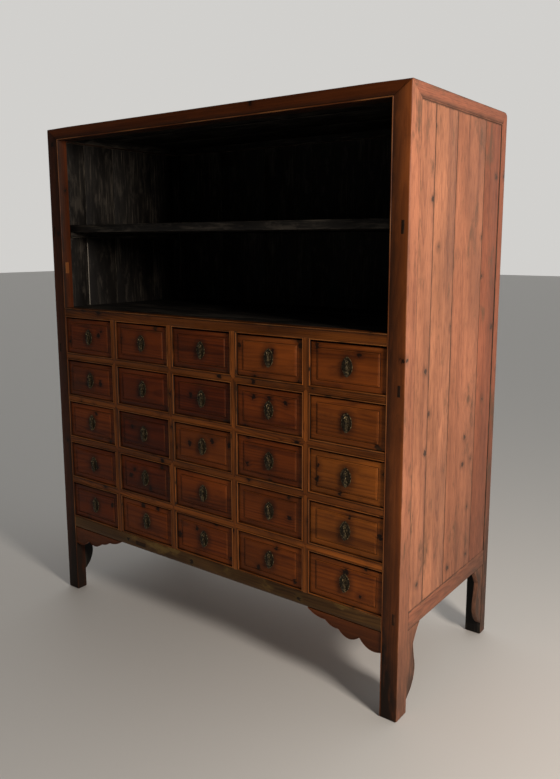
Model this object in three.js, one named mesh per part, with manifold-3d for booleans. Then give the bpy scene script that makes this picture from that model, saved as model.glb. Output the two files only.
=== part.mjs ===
// An apothecary cabinet: four corner posts, a framed top, boarded sides and back, an open
// compartment with one shelf, and below it a grid of small drawers, each with a drop pull.
// Units are millimetres. +X is to the right, +Y to the back, +Z up. The origin is on the floor,
// in the middle of the outline seen from above, pulls included.

import * as THREE from 'three';
import { mergeVertices } from 'three/addons/utils/BufferGeometryUtils.js';
import Module from 'manifold-3d';

const wasm = await Module();
wasm.setup();

// ---- Driving dimensions ---------------------------------------------------------------------

const HEIGHT = 1800;
const WIDTH = 1506;
const DEPTH = 665; // post face to post face, without the pulls

const GAP = 0.3; // between pieces that touch
const LAP = 1; // how far joined blocks run into each other
const MITRE_ROOM = 0.45; // upright room over the sloping mitres, a gap of 0.3 across them

const POST_WIDTH = 57;
const POST_DEPTH = 60;
const BACK_POST_DEPTH = 40;
const REBATE = 20; // the front posts are cut away this deep behind, out to the side boards
const TOP_RAIL_HEIGHT = 42;
const TOP_BOARD_THICKNESS = 16;
const TOP_BOARD_DROP = 2; // how far the top boards lie below the frame around them

const LEG_HEIGHT = 264; // floor to the underside of the bottom rails
const SIDE_RAIL_HEIGHT = 56;
const SIDE_THICKNESS = 16;
const SIDE_RECESS = 2; // boards behind the outer faces of the posts
const RAIL_RECESS = 0.5; // bottom side rails behind the outer faces of the posts
const BACK_THICKNESS = 15;
const BACK_RECESS = 8;
const BACK_RAIL_RECESS = 1;

const ROWS = 5;
const COLUMNS = 5;
const DRAWER_OPENING = { width: 256, height: 135 };
const STILE_WIDTH = 28;
const RAIL_HEIGHT = 28.5;
const DIVIDER_HEIGHT = 36; // the rail between the drawers and the open compartment
const GRID_TOP = 1142;
const LATTICE_DEPTH = 28;
const PARTITION_THICKNESS = 12;
const BOARD_THICKNESS = 12; // the board that each row of drawers slides on
const GUIDE_HEIGHT = 15;
const END_GUIDE_WIDTH = 16;
const FLOOR_THICKNESS = 18;
const FLOOR_DROP = 2; // compartment floor below the top of the divider rail

const SHELF_TOP = 1453;
const SHELF_THICKNESS = 28;
const SHELF_SETBACK = 2; // behind the front posts
const CLEAT = 20;

const APRON_LENGTH = 262;
const APRON_THICKNESS = 16;
const APRON_RECESS = 2;
const OGEE_WIDTH = 77; // the side brackets, along the side rail
const OGEE_FOOT = 45; // floor to the lower tip of a side bracket
const OGEE_THICKNESS = 14;

const DRAWER = {
  recess: 3, // front face behind the lattice
  sideGap: 0.8,
  bottomGap: 0.5,
  topGap: 2.7,
  frontThickness: 18,
  length: 590,
  boxHeight: 108,
  wall: 9,
  bottom: 6,
};

const PLATE = { width: 33, height: 60, thickness: 2 };
const STAPLE = { radius: 5, wire: 1.2, out: 5.5, above: 14.5 }; // ring centre, from the front's middle
const DROP = { length: 43, width: 17, thickness: 2.4, eye: 4.6, hole: 2.4 };

// ---- Places worked out from them --------------------------------------------------------------

const pullProud = STAPLE.out + STAPLE.radius + STAPLE.wire - DRAWER.recess;
const front = -(DEPTH - pullProud) / 2; // front faces of the posts and the lattice
const back = front + DEPTH;
const postInner = WIDTH / 2 - POST_WIDTH;
const sideOuter = WIDTH / 2 - SIDE_RECESS;
const sideInner = sideOuter - SIDE_THICKNESS;
const behindFrontPosts = front + POST_DEPTH + GAP;
const behindRebate = behindFrontPosts - REBATE;
const beforeBackPosts = back - BACK_POST_DEPTH - GAP;
const backInner = back - BACK_RECESS - BACK_THICKNESS;
const railUnderside = HEIGHT - TOP_RAIL_HEIGHT;

const rowPitch = DRAWER_OPENING.height + RAIL_HEIGHT;
const columnPitch = DRAWER_OPENING.width + STILE_WIDTH;
const rowFloor = (row) => GRID_TOP - DIVIDER_HEIGHT - DRAWER_OPENING.height - (row - 1) * rowPitch;
const columnCentre = (column) => (column - (COLUMNS + 1) / 2) * columnPitch;
const stileCentre = (stile) => columnCentre(stile) + columnPitch / 2;

const frontHeight = DRAWER_OPENING.height - DRAWER.bottomGap - DRAWER.topGap;
const halfFront = DRAWER_OPENING.width / 2 - DRAWER.sideGap;

// ---- Materials --------------------------------------------------------------------------------

const finish = (color, roughness, metalness = 0) =>
  new THREE.MeshStandardMaterial({ color, roughness, metalness });

const redWood = finish(0x9c4f26, 0.45);
const amberWood = finish(0xa85a28, 0.45);
const sideWood = finish(0xa86a4a, 0.6);
const blackWood = finish(0x15110f, 0.5);
const rawWood = finish(0xa98a63, 0.75);
const bronze = finish(0x37301f, 0.5, 0.8);

// ---- Solids -----------------------------------------------------------------------------------

/** A closed three.js geometry as a solid that can be joined and cut. */
function solid(geometry) {
  const bare = geometry.index ? geometry.toNonIndexed() : geometry.clone();
  bare.deleteAttribute('normal');
  bare.deleteAttribute('uv');
  const merged = mergeVertices(bare, 1e-4);
  return new wasm.Manifold(
    new wasm.Mesh({
      numProp: 3,
      vertProperties: new Float32Array(merged.attributes.position.array),
      triVerts: new Uint32Array(merged.index.array),
    }),
  );
}

/** A solid as a three.js geometry. */
function geometryOf(shape) {
  const { vertProperties, triVerts } = shape.getMesh();
  const geometry = new THREE.BufferGeometry();
  geometry.setAttribute('position', new THREE.BufferAttribute(vertProperties, 3));
  geometry.setIndex(new THREE.BufferAttribute(triVerts, 1));
  geometry.computeVertexNormals();
  return geometry;
}

/** A block between two limits on each axis, given as [low, high]. */
function block(x, y, z) {
  const geometry = new THREE.BoxGeometry(x[1] - x[0], y[1] - y[0], z[1] - z[0]);
  geometry.translate((x[0] + x[1]) / 2, (y[0] + y[1]) / 2, (z[0] + z[1]) / 2);
  return solid(geometry);
}

const join = (shapes) => shapes.reduce((whole, shape) => whole.add(shape));
const cut = (whole, shapes) => shapes.reduce((rest, shape) => rest.subtract(shape), whole);
const mirrorX = (shape) => shape.mirror([1, 0, 0]);

/** An outline drawn in X and Z, made solid between two limits on Y. */
function frontal(shape, y, divisions = 5) {
  const options = { depth: y[1] - y[0], bevelEnabled: false, curveSegments: divisions };
  const geometry = new THREE.ExtrudeGeometry(shape, options);
  geometry.rotateX(Math.PI / 2);
  geometry.translate(0, y[1], 0);
  return solid(geometry);
}

/** An outline drawn in Y and Z, made solid between two limits on X. */
function sideways(shape, x, divisions = 5) {
  const options = { depth: x[1] - x[0], bevelEnabled: false, curveSegments: divisions };
  const geometry = new THREE.ExtrudeGeometry(shape, options);
  geometry.rotateX(Math.PI / 2);
  geometry.rotateZ(Math.PI / 2);
  geometry.translate(x[0], 0, 0);
  return solid(geometry);
}

// ---- Corner posts and top ---------------------------------------------------------------------

/** The wedge above a mitre that falls from the outer edge, 0, to the inner edge, run. */
function mitreWedge(run) {
  const reach = 50;
  const fall = TOP_RAIL_HEIGHT / run;
  const wedge = new THREE.Shape();
  wedge.moveTo(-reach, HEIGHT + reach * fall);
  wedge.lineTo(run + reach, HEIGHT - (run + reach) * fall);
  wedge.lineTo(run + reach, HEIGHT + 2 * reach);
  wedge.lineTo(-reach, HEIGHT + 2 * reach);
  return wedge;
}

/**
 * A post with its outer corner at X 0, Y 0, its top mitred on both outer faces. With room
 * above 0 it is the seat that the post leaves in the top.
 */
function postSolid(depth, room = 0) {
  const margin = 2 * LAP;
  const spread = room > 0 ? LAP : 0;
  const across = frontal(mitreWedge(POST_WIDTH), [-margin, depth + margin]);
  const along = sideways(mitreWedge(depth), [-margin, POST_WIDTH + margin]);
  const x = [-spread, POST_WIDTH + spread];
  const y = [-spread, depth + spread];
  return cut(block(x, y, [0, HEIGHT + LAP]), [across, along]).translate([0, 0, room]);
}

/** The four posts by name, or their seats. */
function cornerPosts(room = 0) {
  const rebate = block(
    [-sideInner, -postInner + 2 * LAP],
    [behindRebate - GAP, behindFrontPosts + 2 * LAP],
    [-LAP, railUnderside - LAP],
  );
  const frontPost = cut(postSolid(POST_DEPTH, room).translate([-WIDTH / 2, front, 0]), [rebate]);
  const backPost = postSolid(BACK_POST_DEPTH, room)
    .mirror([0, 1, 0])
    .translate([-WIDTH / 2, back, 0]);
  return {
    front_left_post: frontPost,
    front_right_post: mirrorX(frontPost),
    back_left_post: backPost,
    back_right_post: mirrorX(backPost),
  };
}

/** The mitred frame around the top, with the boards that fill it. */
function topSolid() {
  const half = WIDTH / 2;
  const slab = block([-half, half], [front, back], [railUnderside, HEIGHT]);
  const insideX = [-half + POST_WIDTH, half - POST_WIDTH];
  const insideY = [front + POST_DEPTH, back - BACK_POST_DEPTH];
  const boardTop = HEIGHT - TOP_BOARD_DROP;
  const above = block(insideX, insideY, [boardTop, HEIGHT + LAP]);
  const below = block(insideX, insideY, [railUnderside - LAP, boardTop - TOP_BOARD_THICKNESS]);
  return cut(slab, [above, below, ...Object.values(cornerPosts(MITRE_ROOM))]);
}

// ---- Sides and back ---------------------------------------------------------------------------

/** The ogee bracket beside a leg: Y counts away from the leg, Z up from the floor. */
function ogeeOutline() {
  const outline = new THREE.Shape();
  outline.moveTo(0, LEG_HEIGHT + LAP);
  outline.lineTo(0, OGEE_FOOT);
  outline.bezierCurveTo(70, 95, 48, 165, 38, 208);
  outline.quadraticCurveTo(54, 240, OGEE_WIDTH, LEG_HEIGHT);
  outline.lineTo(OGEE_WIDTH, LEG_HEIGHT + LAP);
  return outline;
}

/** Boards, bottom rail, brackets and shelf cleat of the right side. */
function sideSolid() {
  const railOuter = WIDTH / 2 - RAIL_RECESS;
  const along = [behindFrontPosts, beforeBackPosts];
  const boards = block(
    [sideInner, sideOuter],
    along,
    [LEG_HEIGHT + SIDE_RAIL_HEIGHT - LAP, railUnderside - GAP],
  );
  const rail = block([sideInner, railOuter], along, [LEG_HEIGHT, LEG_HEIGHT + SIDE_RAIL_HEIGHT]);
  const ogee = sideways(ogeeOutline(), [railOuter - OGEE_THICKNESS, railOuter]);
  const cleatTop = SHELF_TOP - SHELF_THICKNESS - GAP;
  const cleat = block([sideInner - CLEAT, sideInner + LAP], along, [cleatTop - CLEAT, cleatTop]);
  return join([
    boards,
    rail,
    ogee.translate([0, behindFrontPosts, 0]),
    ogee.mirror([0, 1, 0]).translate([0, beforeBackPosts, 0]),
    cleat,
  ]);
}

/** Boards of the back, with the rail across their foot. */
function backSolid() {
  const across = [-postInner + GAP, postInner - GAP];
  const boards = block(
    across,
    [backInner, backInner + BACK_THICKNESS],
    [LEG_HEIGHT, railUnderside - GAP],
  );
  const rail = block(
    across,
    [backInner, back - BACK_RAIL_RECESS],
    [LEG_HEIGHT, LEG_HEIGHT + SIDE_RAIL_HEIGHT],
  );
  return boards.add(rail);
}

// ---- Drawer grid and shelf --------------------------------------------------------------------

/** The scalloped apron beside a leg: X counts away from the leg, Z up from the floor. */
function apronOutline() {
  const under = (depth) => LEG_HEIGHT - depth;
  const outline = new THREE.Shape();
  outline.moveTo(0, LEG_HEIGHT + LAP);
  outline.lineTo(0, under(64));
  outline.quadraticCurveTo(44, under(80), 74, under(40));
  outline.quadraticCurveTo(112, under(74), 148, under(36));
  outline.quadraticCurveTo(172, under(40), 197, under(20));
  outline.quadraticCurveTo(236, under(22), APRON_LENGTH, LEG_HEIGHT);
  outline.lineTo(APRON_LENGTH, LEG_HEIGHT + LAP);
  return outline;
}

/** A board as wide as the cabinet inside, narrower between the front and the back posts. */
function fittedBoard(z, frontFace) {
  const narrow = postInner - GAP;
  const wide = sideInner - GAP;
  return join([
    block([-narrow, narrow], [frontFace, backInner - GAP], z),
    block([-wide, wide], [Math.max(frontFace, behindRebate), beforeBackPosts], z),
  ]);
}

/** Rails and stiles that frame the drawers, flush with the posts. */
function lattice() {
  const half = postInner - GAP;
  const y = [front, front + LATTICE_DEPTH];
  const rail = (z) => block([-half, half], y, z);
  const pieces = [
    rail([GRID_TOP - DIVIDER_HEIGHT, GRID_TOP]),
    rail([LEG_HEIGHT, rowFloor(ROWS)]),
  ];
  for (let row = 1; row < ROWS; row += 1) {
    pieces.push(rail([rowFloor(row) - RAIL_HEIGHT, rowFloor(row)]));
  }
  for (let stile = 1; stile < COLUMNS; stile += 1) {
    const x = [stileCentre(stile) - STILE_WIDTH / 2, stileCentre(stile) + STILE_WIDTH / 2];
    pieces.push(block(x, y, [rowFloor(ROWS) - LAP, GRID_TOP - DIVIDER_HEIGHT + LAP]));
  }
  return pieces;
}

/** The strips that keep each row's drawers straight, beside the partitions and at both ends. */
function guides() {
  const y = [front + LATTICE_DEPTH - LAP, front + DRAWER.length];
  const pieces = [];
  for (let row = 1; row <= ROWS; row += 1) {
    const z = [rowFloor(row) - LAP, rowFloor(row) + GUIDE_HEIGHT];
    for (let stile = 1; stile < COLUMNS; stile += 1) {
      const x = [stileCentre(stile) - STILE_WIDTH / 2, stileCentre(stile) + STILE_WIDTH / 2];
      pieces.push(block(x, y, z));
    }
    const end = block([postInner, postInner + END_GUIDE_WIDTH], [behindRebate, y[1]], z);
    pieces.push(end, mirrorX(end));
  }
  return pieces;
}

/** Lattice, partitions, drawer boards, guides, compartment floor and aprons. */
function gridSolid() {
  const floorTop = GRID_TOP - FLOOR_DROP;
  const pieces = [
    ...lattice(),
    ...guides(),
    fittedBoard([floorTop - FLOOR_THICKNESS, floorTop], front + LATTICE_DEPTH - LAP),
  ];
  for (let row = 1; row <= ROWS; row += 1) {
    const z = [rowFloor(row) - BOARD_THICKNESS, rowFloor(row)];
    pieces.push(fittedBoard(z, front + LATTICE_DEPTH - LAP));
  }
  for (let stile = 1; stile < COLUMNS; stile += 1) {
    const x = [
      stileCentre(stile) - PARTITION_THICKNESS / 2,
      stileCentre(stile) + PARTITION_THICKNESS / 2,
    ];
    const z = [rowFloor(ROWS) - LAP, floorTop - LAP];
    pieces.push(block(x, [front + LATTICE_DEPTH - LAP, backInner - GAP], z));
  }
  const apronY = [front + APRON_RECESS, front + APRON_RECESS + APRON_THICKNESS];
  const apron = frontal(apronOutline(), apronY).translate([-postInner + GAP, 0, 0]);
  pieces.push(apron, mirrorX(apron));
  return join(pieces);
}

function shelfSolid() {
  return fittedBoard([SHELF_TOP - SHELF_THICKNESS, SHELF_TOP], behindFrontPosts + SHELF_SETBACK);
}

// ---- Drawers and pulls ------------------------------------------------------------------------
// A drawer's own frame: X 0 in its middle, Y 0 on its front face, Z 0 at its underside.

const stapleZ = frontHeight / 2 + STAPLE.above;

/** The pointed oval plate behind a pull, round its own middle. */
function plateOutline() {
  const { width, height } = PLATE;
  const outline = new THREE.Shape();
  outline.moveTo(0, -height / 2);
  outline.quadraticCurveTo(width * 0.66, -height * 0.12, width / 2, height * 0.06);
  outline.quadraticCurveTo(width * 0.38, height * 0.34, 0, height / 2);
  outline.quadraticCurveTo(-width * 0.38, height * 0.34, -width / 2, height * 0.06);
  outline.quadraticCurveTo(-width * 0.66, -height * 0.12, 0, -height / 2);
  return outline;
}

/** The staple: a ring in the Y and Z plane whose back is driven into the front. */
function staple() {
  const ring = new THREE.TorusGeometry(STAPLE.radius, STAPLE.wire, 5, 9);
  ring.rotateY(Math.PI / 2);
  ring.translate(0, -STAPLE.out, stapleZ);
  return solid(ring);
}

function drawerSolid() {
  const { frontThickness, length, boxHeight, wall, bottom } = DRAWER;
  const faced = block([-halfFront, halfFront], [0, frontThickness], [0, frontHeight]);
  const box = block([-halfFront, halfFront], [frontThickness - LAP, length], [0, boxHeight]);
  const hollow = block(
    [-halfFront + wall, halfFront - wall],
    [frontThickness, length - wall],
    [bottom, boxHeight + LAP],
  );
  const plate = frontal(plateOutline(), [-PLATE.thickness, LAP], 3);
  return join([
    box.subtract(hollow),
    faced,
    plate.translate([0, 0, frontHeight / 2]),
    staple(),
  ]);
}

/** The leaf-shaped drop, with the middle of its staple at the origin. */
function dropGeometry() {
  const { length, width, thickness, eye, hole } = DROP;
  const eyeZ = -STAPLE.radius;
  const tip = eyeZ + eye - length;
  const outline = new THREE.Shape();
  outline.moveTo(0, tip);
  outline.quadraticCurveTo(width * 0.46, tip + length * 0.06, width / 2, tip + length * 0.3);
  outline.quadraticCurveTo(width * 0.36, tip + length * 0.55, eye * 0.8, eyeZ - eye * 0.6);
  outline.absarc(0, eyeZ, eye, -Math.PI * 0.2, Math.PI * 1.2, false);
  outline.quadraticCurveTo(-width * 0.36, tip + length * 0.55, -width / 2, tip + length * 0.3);
  outline.quadraticCurveTo(-width * 0.46, tip + length * 0.06, 0, tip);
  const opening = new THREE.Path();
  opening.absarc(0, eyeZ, hole, 0, Math.PI * 2, true);
  outline.holes.push(opening);
  return geometryOf(frontal(outline, [-thickness / 2, thickness / 2], 3));
}

// ---- Assembly ---------------------------------------------------------------------------------

const cabinet = new THREE.Group();

function addPiece(parent, name, geometry, material) {
  const mesh = new THREE.Mesh(geometry, material);
  mesh.name = name;
  parent.add(mesh);
  return mesh;
}

for (const [name, shape] of Object.entries(cornerPosts())) {
  addPiece(cabinet, name, geometryOf(shape), redWood);
}
const rightSide = sideSolid();
addPiece(cabinet, 'top', geometryOf(topSolid()), sideWood);
addPiece(cabinet, 'left_side_panel', geometryOf(mirrorX(rightSide)), sideWood);
addPiece(cabinet, 'right_side_panel', geometryOf(rightSide), sideWood);
addPiece(cabinet, 'back_panel', geometryOf(backSolid()), rawWood);
addPiece(cabinet, 'drawer_grid', geometryOf(gridSolid()), redWood);
addPiece(cabinet, 'shelf', geometryOf(shelfSolid()), blackWood);

const drawerGeometry = geometryOf(drawerSolid());
const pullGeometry = dropGeometry();
for (let row = 1; row <= ROWS; row += 1) {
  for (let column = 1; column <= COLUMNS; column += 1) {
    const bay = new THREE.Group();
    const z = rowFloor(row) + DRAWER.bottomGap;
    bay.position.set(columnCentre(column), front + DRAWER.recess, z);
    addPiece(bay, `drawer_r${row}c${column}`, drawerGeometry, amberWood);
    const pull = addPiece(bay, `pull_r${row}c${column}`, pullGeometry, bronze);
    pull.position.set(0, -STAPLE.out, stapleZ);
    cabinet.add(bay);
  }
}

export default cabinet;
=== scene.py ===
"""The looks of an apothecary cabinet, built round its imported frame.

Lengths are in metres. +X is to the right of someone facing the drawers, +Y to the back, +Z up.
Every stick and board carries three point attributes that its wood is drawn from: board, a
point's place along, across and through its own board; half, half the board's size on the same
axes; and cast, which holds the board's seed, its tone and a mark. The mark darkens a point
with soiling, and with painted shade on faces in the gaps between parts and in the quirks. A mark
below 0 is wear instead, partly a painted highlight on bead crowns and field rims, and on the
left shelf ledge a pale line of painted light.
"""

import math

import bmesh
import bpy
import numpy as np
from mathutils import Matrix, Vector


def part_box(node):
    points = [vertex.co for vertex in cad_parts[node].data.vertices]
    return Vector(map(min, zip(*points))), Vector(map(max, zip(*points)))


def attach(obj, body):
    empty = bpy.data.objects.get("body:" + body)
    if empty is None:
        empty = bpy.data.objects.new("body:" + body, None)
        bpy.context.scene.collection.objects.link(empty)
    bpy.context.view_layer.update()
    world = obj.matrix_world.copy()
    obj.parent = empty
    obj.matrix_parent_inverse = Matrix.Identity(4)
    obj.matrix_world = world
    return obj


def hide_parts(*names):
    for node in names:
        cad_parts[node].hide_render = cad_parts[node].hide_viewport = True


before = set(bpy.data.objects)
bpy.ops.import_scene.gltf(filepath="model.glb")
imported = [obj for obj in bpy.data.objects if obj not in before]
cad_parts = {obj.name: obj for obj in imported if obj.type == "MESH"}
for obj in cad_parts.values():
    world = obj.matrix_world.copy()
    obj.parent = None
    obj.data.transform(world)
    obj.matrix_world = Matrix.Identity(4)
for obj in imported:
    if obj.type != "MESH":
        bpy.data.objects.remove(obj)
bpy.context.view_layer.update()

# ---- Places from the frame

ROWS, COLUMNS = 5, 5
GAP = 0.0003  # between neighbouring pieces, as in the CAD part
LEFT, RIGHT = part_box("front_left_post")[0].x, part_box("front_right_post")[1].x
FRONT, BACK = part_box("front_left_post")[0].y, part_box("back_left_post")[1].y
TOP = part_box("top")[1].z
POST_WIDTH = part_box("front_left_post")[1].x - LEFT
POST_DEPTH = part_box("front_left_post")[1].y - FRONT
BACK_POST_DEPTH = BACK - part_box("back_left_post")[0].y
TOP_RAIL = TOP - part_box("top")[0].z
INNER = RIGHT - POST_WIDTH
GRID_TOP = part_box("drawer_grid")[1].z
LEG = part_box("back_panel")[0].z
SHELF_LOW, SHELF_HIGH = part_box("shelf")
SIDE_INNER = SHELF_HIGH.x + GAP
BACK_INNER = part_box("back_panel")[0].y
SIDE_FROM, SIDE_TO = FRONT + POST_DEPTH, BACK - BACK_POST_DEPTH  # between the posts

# ---- Sizes

OPENING_HEIGHT = 0.135
SIDE_PLAY, BOTTOM_PLAY = 0.0008, 0.0005
LATTICE_DEPTH = 0.028
BEHIND_LATTICE = FRONT + LATTICE_DEPTH + GAP
BEAD_RADIUS = 0.0023
BEAD_PROUD = 0.0004
BEAD_WIDTH = 0.0050
QUIRK = 0.0005
CHAMFER = 0.001  # on the hidden back corners of rails
STEP = 0.06  # between the rings of a stick
WOBBLE = 0.00022  # how far hand-planed timber strays
SIDE_RECESS = 0.002
SIDE_THICKNESS = 0.016
SIDE_RAIL_RECESS = 0.0005
RAIL_TOP = LEG + 0.056  # of the bottom rails at the sides and the back
SIDE_JOINTS = (0.150, 0.292, 0.500)  # board joints, behind the front face
BACK_THICKNESS = 0.015
BACK_RAIL_RECESS = 0.001
REBATE = 0.040  # the front posts are this deep inside, and lacquered black behind
FLOOR_DROP, FLOOR_THICKNESS = 0.002, 0.018
BOARD_THICKNESS = 0.012
PARTITION = 0.012
GUIDE = 0.015
CLEAT = 0.020
DRAWER_RECESS = 0.003
DRAWER_LENGTH = 0.590
DRAWER_FRONT = 0.018
DRAWER_WALL = 0.009
DRAWER_BOX = 0.108
DRAWER_BOTTOM = 0.006

AXES = np.eye(3)
X, Y, Z = AXES


# ---- Materials


class Graph:
    """Short calls that build one material's nodes."""

    def __init__(self, name):
        self.material = bpy.data.materials.new(name)
        self.material.use_nodes = True
        self.tree = self.material.node_tree
        self.shader = self.tree.nodes["Principled BSDF"]

    def feed(self, socket, value):
        if isinstance(value, bpy.types.NodeSocket):
            self.tree.links.new(value, socket)
        else:
            socket.default_value = value

    def node(self, kind, settings=None, **inputs):
        made = self.tree.nodes.new("ShaderNode" + kind)
        for key, value in (settings or {}).items():
            setattr(made, key, value)
        for key, value in inputs.items():
            self.feed(made.inputs[key.replace("_", " ")], value)
        return made

    def maths(self, operation, a, b=0.0, c=0.0, clamp=False):
        made = self.node("Math", {"operation": operation, "use_clamp": clamp})
        for socket, value in zip(made.inputs, (a, b, c)):
            self.feed(socket, value)
        return made.outputs[0]

    def plus(self, a, b, clamp=False):
        return self.maths("ADD", a, b, clamp=clamp)

    def minus(self, a, b):
        return self.maths("SUBTRACT", a, b)

    def times(self, a, b, clamp=False):
        return self.maths("MULTIPLY", a, b, clamp=clamp)

    def larger(self, a, b):
        return self.maths("MAXIMUM", a, b)

    def vectors(self, operation, a, b=(0.0, 0.0, 0.0)):
        made = self.node("VectorMath", {"operation": operation})
        self.feed(made.inputs[0], a)
        self.feed(made.inputs[1], b)
        return made.outputs["Value" if operation == "LENGTH" else "Vector"]

    def band(self, value, low, high, to_low=0.0, to_high=1.0):
        """A smooth step of value, from to_low at low to to_high at high."""
        made = self.node("MapRange", {"interpolation_type": "SMOOTHSTEP"})
        for socket, number in zip(made.inputs, (value, low, high, to_low, to_high)):
            self.feed(socket, number)
        return made.outputs[0]

    def mix(self, share, a, b):
        """The colour a where share is 0, and b where it is 1."""
        made = self.node("Mix", {"data_type": "RGBA"})
        for socket, value in zip((made.inputs[0], made.inputs[6], made.inputs[7]), (share, a, b)):
            self.feed(socket, (*value, 1.0) if isinstance(value, tuple) else value)
        return made.outputs[2]

    def brighten(self, colour, factor):
        return self.vectors("MULTIPLY", colour, self.join(factor, factor, factor))

    def join(self, x, y, z):
        return self.node("CombineXYZ", X=x, Y=y, Z=z).outputs[0]

    def split(self, vector):
        return self.node("SeparateXYZ", Vector=vector).outputs

    def noise(self, vector, detail=2.0, rough=0.5):
        made = self.node("TexNoise", Vector=vector, Scale=1.0, Detail=detail, Roughness=rough)
        return made.outputs["Fac"]

    def attribute(self, name):
        return self.node("Attribute", {"attribute_name": name}).outputs["Vector"]

    def bump(self, height, strength, distance):
        made = self.node("Bump", Height=height, Strength=strength, Distance=distance)
        self.feed(self.shader.inputs["Normal"], made.outputs[0])


SEED_SHIFT = (13.7, 7.9, 3.3)  # how far apart the seeds lie in the noise


class Grain(Graph):
    """A material for timber, with the coordinates that every wood here is drawn from."""

    def __init__(self, name):
        super().__init__(name)
        self.board = self.attribute("board")
        self.half = self.attribute("half")
        self.seed, self.tone, self.dirt = self.split(self.attribute("cast"))
        shift = [self.times(self.seed, by) for by in SEED_SHIFT]
        self.place = self.vectors("ADD", self.board, self.join(*shift))
        self.along, self.across, self.through = self.split(self.place)

    def stretched(self, along, across):
        """The board's place, scaled along and across the grain."""
        return self.vectors("MULTIPLY", self.place, (along, across, across))

    def chance(self, by):
        """A number from -1 to 1 that differs from board to board."""
        return self.maths("SINE", self.times(self.seed, by))

    def edge_distance(self):
        """How far a point of the surface is from the nearest edge of its board."""
        room = self.vectors("SUBTRACT", self.half, self.vectors("ABSOLUTE", self.board))
        x, y, z = self.split(room)
        low = self.maths("MINIMUM", self.maths("MINIMUM", x, y), z)
        high = self.larger(self.larger(x, y), z)
        total = self.plus(self.plus(x, y), z)
        return self.minus(self.minus(total, low), high)

    def knots(self, share, scale=12.5, size=0.14):
        """(how much a point is in a knot, how strongly the grain bends there)."""
        spot = self.join(
            self.times(self.along, scale),
            self.times(self.plus(self.across, self.through), scale * 0.9),
            0.0,
        )
        cell = self.node("TexVoronoi", {"voronoi_dimensions": "2D"}, Vector=spot, Scale=1.0)
        luck, width, _ = self.split(cell.outputs["Color"])
        active = self.maths("LESS_THAN", luck, share)
        radius = self.maths("MULTIPLY_ADD", width, size * 0.6, size * 0.3)
        ragged = self.minus(self.noise(self.stretched(90, 150), 3.0), 0.5)
        ragged = self.times(ragged, size * 2.2)
        distance = self.plus(cell.outputs["Distance"], ragged)
        core = self.band(self.maths("DIVIDE", distance, radius), 1.15, 0.75)
        bend = self.band(cell.outputs["Distance"], 0.34, 0.0)
        return self.times(active, core), self.times(active, bend)

    def rings(self, bend, spacing):
        """Growth rings cut by the board's faces: 1 in the dark late wood, falling off to 0. The
        pith runs a few centimetres away, at a slant that differs from board to board."""
        along, across, through = self.split(self.board)
        sway = self.minus(self.noise(self.stretched(1.3, 5.0)), 0.5)
        ripple = self.minus(self.noise(self.stretched(9.0, 30.0)), 0.5)
        slope = self.times(self.chance(57.0), 0.05)
        depth = self.maths("MULTIPLY_ADD", self.chance(37.0), 0.02, 0.045)
        depth = self.plus(depth, self.times(along, slope))
        depth = self.plus(depth, self.times(sway, 0.06))
        depth = self.plus(depth, through)
        pith = self.times(self.chance(91.0), 0.05)
        reach = self.plus(self.minus(across, pith), self.times(bend, 0.008))
        reach = self.plus(reach, self.times(ripple, 0.004))
        radius = self.vectors("LENGTH", self.join(0.0, reach, depth))
        turn = self.maths("FRACT", self.maths("DIVIDE", radius, spacing))
        rise = self.band(turn, 0.25, 0.85)
        fall = self.band(turn, 1.0, 0.9)
        return self.times(rise, fall)


# What the timbers share. The knot, stain, wear and grime entries are colours, the grime one
# also painting shade in the gaps and quirks; a share says how much of something shows; ring and
# the widths are in metres.
LOOK = {
    "knots": 0.30,
    "knot": (0.009, 0.004, 0.002),
    "halo": 0.25,
    "ring": 0.0075,
    "ring_share": 0.42,
    "fibre": (7.0, 330.0),
    "fibre_share": 0.25,
    "streak_share": 0.45,
    "mottle": 0.5,
    "tone_range": 0.6,
    "redden": 0.35,
    "stain": (0.040, 0.013, 0.005),
    "stain_share": 0.5,
    "wear": (0.46, 0.20, 0.065),
    "wear_width": 0.0016,
    "wear_share": 0.5,
    "seam_share": 0.0,
    "grime": (0.014, 0.007, 0.004),
    "rough": (0.32, 0.50),
    "gloss": 0.15,
    "bump": 0.25,
    # Darkening round a pull: soiling from hands and the pull's painted shadow.
    "smudge": 0.0,  # how dark the wood is round a pull
    "plain": False,  # no relief, and one roughness all over
}

PULL_SOIL_AND_SHADOW_SCALE = (1 / 0.030, 1 / 0.040)  # along and across: soiling from hands and the pull's painted shadow reach so far


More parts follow.
